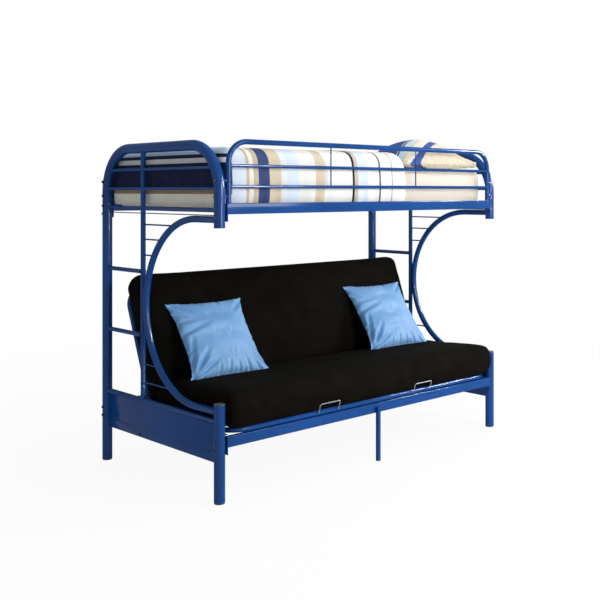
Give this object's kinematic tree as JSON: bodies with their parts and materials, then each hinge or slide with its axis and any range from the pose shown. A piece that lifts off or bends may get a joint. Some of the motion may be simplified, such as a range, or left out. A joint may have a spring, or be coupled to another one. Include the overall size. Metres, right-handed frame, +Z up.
{
  "type": "futon bunk bed",
  "caption": "Tubular steel bunk bed: guarded upper bed with bedding over a futon whose seat slides out while its back folds flat, arched end frames with a ladder.",
  "frame": {"origin": "on the floor under the middle of the whole object's bounding box", "axes": "+X along the bed from the foot end to the pillow end, -Y out of the front of the futon, +Z up"},
  "size_m": [1.9936, 1.1332, 1.7061],
  "materials": {
    "blue_enamel": "glossy blue powder coat on steel tube",
    "black_plastic": "satin black moulded plastic",
    "white_nylon": "plain off-white nylon strip",
    "zinc_hardware": "dull zinc-plated steel",
    "grey_wire": "grey painted wire",
    "ivory_ticking": "smooth ivory mattress ticking",
    "striped_bedding": "soft cotton with wide navy, tan, cream and pale blue stripes",
    "black_futon_cover": "matt black cotton twill cover",
    "blue_pillow_cover": "soft sky-blue cotton cover"
  },
  "bodies": {
    "bed_frame": {"left_end_loop": "blue_enamel", "right_end_loop": "blue_enamel", "left_front_leg": "blue_enamel", "right_front_leg": "blue_enamel", "leg_caps": "black_plastic", "foot_glides": "black_plastic", "left_arch_tube": "blue_enamel", "right_arch_tube": "blue_enamel", "left_ladder_upright": "blue_enamel", "right_ladder_upright": "blue_enamel", "left_ladder_rungs": "blue_enamel", "right_ladder_rungs": "blue_enamel", "left_end_bars": "blue_enamel", "right_end_bars": "blue_enamel", "left_arch_rods": "blue_enamel", "right_arch_rods": "blue_enamel", "left_end_panel": "blue_enamel", "right_end_panel": "blue_enamel", "left_panel_tube": "blue_enamel", "right_panel_tube": "blue_enamel", "panel_bolts": "zinc_hardware", "front_upper_rail": "blue_enamel", "rear_upper_rail": "blue_enamel", "front_guard_rail": "blue_enamel", "rear_guard_rail": "blue_enamel", "front_guard_bars": "blue_enamel", "rear_guard_bars": "blue_enamel", "front_guard_rods": "blue_enamel", "rear_guard_rods": "blue_enamel", "guard_spacers": "blue_enamel", "upper_deck_tubes": "blue_enamel", "upper_deck_mesh": "blue_enamel", "deck_end_rods": "blue_enamel", "front_lower_rail": "blue_enamel", "rear_lower_rail": "blue_enamel", "front_centre_leg": "blue_enamel", "rear_centre_leg": "blue_enamel", "centre_leg_glides": "black_plastic", "left_futon_track": "blue_enamel", "right_futon_track": "blue_enamel", "upper_rail_bolts": "zinc_hardware", "lower_rail_bolts": "zinc_hardware", "upper_mattress": "ivory_ticking", "comforter": "striped_bedding", "bed_pillow": "striped_bedding"},
    "futon_seat": {"seat_frame": "blue_enamel", "seat_cross_rods": "blue_enamel", "seat_mesh": "blue_enamel", "seat_glides": "white_nylon", "seat_hinge_plates": "blue_enamel", "hinge_pins": "zinc_hardware", "mattress_retainers": "grey_wire", "futon_seat_mattress": "black_futon_cover"},
    "futon_back": {"back_frame": "blue_enamel", "back_cross_rods": "blue_enamel", "back_mesh": "blue_enamel", "back_hinge_plates": "blue_enamel", "futon_back_mattress": "black_futon_cover", "left_throw_pillow": "blue_pillow_cover", "right_throw_pillow": "blue_pillow_cover"}
  },
  "joints": [
    {"name": "seat_slide", "type": "slide", "parent": "bed_frame", "child": "futon_seat", "axis": [0, -1, 0], "range_m": [0, 0.2636]},
    {"name": "back_recline", "type": "hinge", "parent": "futon_seat", "child": "futon_back", "pos_m": [0, 0.16815, 0.3157], "axis": [-1, 0, 0], "range_deg": [0, 66.8]}
  ],
  "couplings": [
    {"joint": "back_recline", "follows": "seat_slide", "rad_per_m": 4.4229}
  ]
}
